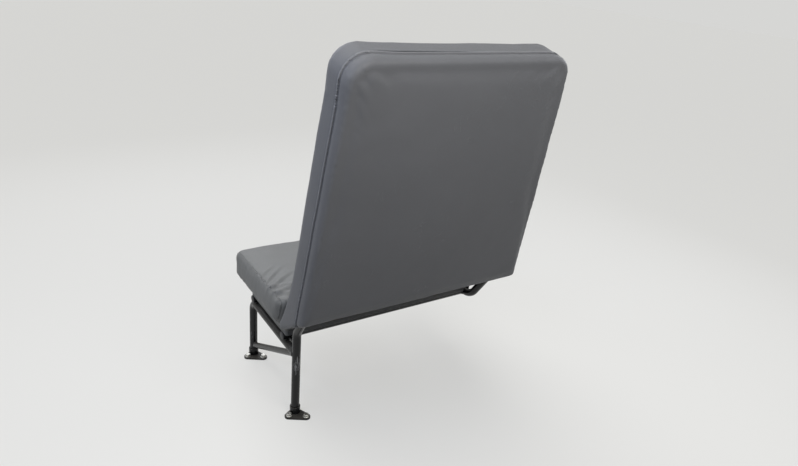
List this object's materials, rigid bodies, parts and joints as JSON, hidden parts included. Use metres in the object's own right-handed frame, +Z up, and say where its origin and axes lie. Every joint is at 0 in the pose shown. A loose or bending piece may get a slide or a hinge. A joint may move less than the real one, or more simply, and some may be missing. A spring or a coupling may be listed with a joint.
{
  "type": "vehicle passenger bench seat",
  "caption": "High-back upholstered bench seat on a tube frame: aisle legs bolt to the floor, a wall bracket carries the other side, and the cushion flips up at its front.",
  "frame": {"origin": "on the floor, midway between the two floor bolts nearest the aisle", "axes": "+X towards the side wall, +Y the way a sitter faces, +Z up"},
  "size_m": [0.762, 0.6786, 1.1293],
  "materials": {
    "frame_paint": "black painted steel tube",
    "back_vinyl": "charcoal grey grained upholstery vinyl",
    "cushion_vinyl": "grey grained upholstery vinyl",
    "plywood": "bare plywood",
    "zinc_steel": "zinc-plated steel strip"
  },
  "bodies": {
    "frame": {"front_leg": "frame_paint", "rear_leg": "frame_paint", "leg_brace": "frame_paint", "front_foot": "frame_paint", "rear_foot": "frame_paint", "front_cross_tube": "frame_paint", "rear_cross_tube": "frame_paint", "wall_rail": "frame_paint", "wall_bracket": "frame_paint", "aisle_gusset": "frame_paint", "wall_gusset": "frame_paint", "back_pad": "back_vinyl", "back_panel": "back_vinyl"},
    "cushion": {"cushion_pad": "cushion_vinyl", "cushion_board": "plywood", "aisle_hinge_clip": "zinc_steel", "wall_hinge_clip": "zinc_steel", "aisle_spring_catch": "zinc_steel", "wall_spring_catch": "zinc_steel"}
  },
  "joints": [
    {"name": "cushion_flip", "type": "hinge", "parent": "frame", "child": "cushion", "pos_m": [0.344, 0.148, 0.2374], "axis": [-1, 0, 0], "range_deg": [0, 75]}
  ]
}
